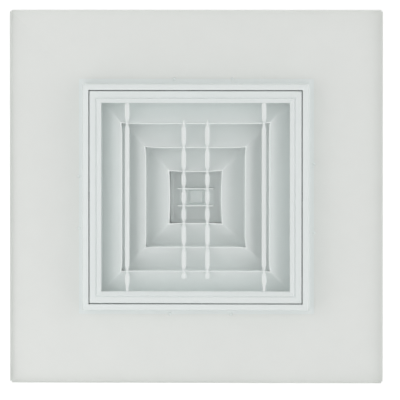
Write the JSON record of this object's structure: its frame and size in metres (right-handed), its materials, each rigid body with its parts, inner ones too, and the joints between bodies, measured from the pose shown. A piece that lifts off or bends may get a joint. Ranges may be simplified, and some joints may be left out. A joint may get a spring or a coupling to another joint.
{
  "type": "square ceiling air outlet",
  "caption": "Square lay-in ceiling air outlet: a flat panel with a raised collar, a removable core of nested flared square cones on pressed rods, and a hung centre plate.",
  "frame": {"origin": "middle of the panel's room-side face, on which the outlet lies", "axes": "+Z from the room side to the duct side, square to the panel; +X and +Y along the panel's edges, with the rods along Y"},
  "size_m": [0.595, 0.595, 0.042],
  "materials": {
    "panel_enamel": "satin white powder coat",
    "collar_enamel": "satin white powder coat",
    "core_enamel": "satin white powder coat",
    "rod_enamel": "satin white powder coat on pressed bar",
    "zinc_steel": "zinc plated",
    "spring_steel": "bare spring strip"
  },
  "bodies": {
    "root": {"ceiling_panel": "panel_enamel", "centre_bracket": "core_enamel", "centre_plate": "core_enamel", "collar_rail_back": "collar_enamel", "collar_rail_front": "collar_enamel", "collar_rail_left": "collar_enamel", "collar_rail_right": "collar_enamel", "cone_inner": "core_enamel", "cone_middle": "core_enamel", "cone_outer": "core_enamel", "core_clip_back": "spring_steel", "core_clip_front": "spring_steel", "core_clip_left": "spring_steel", "core_clip_right": "spring_steel", "core_rail_back": "core_enamel", "core_rail_front": "core_enamel", "core_rail_left": "core_enamel", "core_rail_right": "core_enamel", "corner_key_back_left": "zinc_steel", "corner_key_back_right": "zinc_steel", "corner_key_front_left": "zinc_steel", "corner_key_front_right": "zinc_steel", "inner_rod_left": "rod_enamel", "inner_rod_right": "rod_enamel", "outer_rod_left": "rod_enamel", "outer_rod_right": "rod_enamel"}
  },
  "joints": []
}
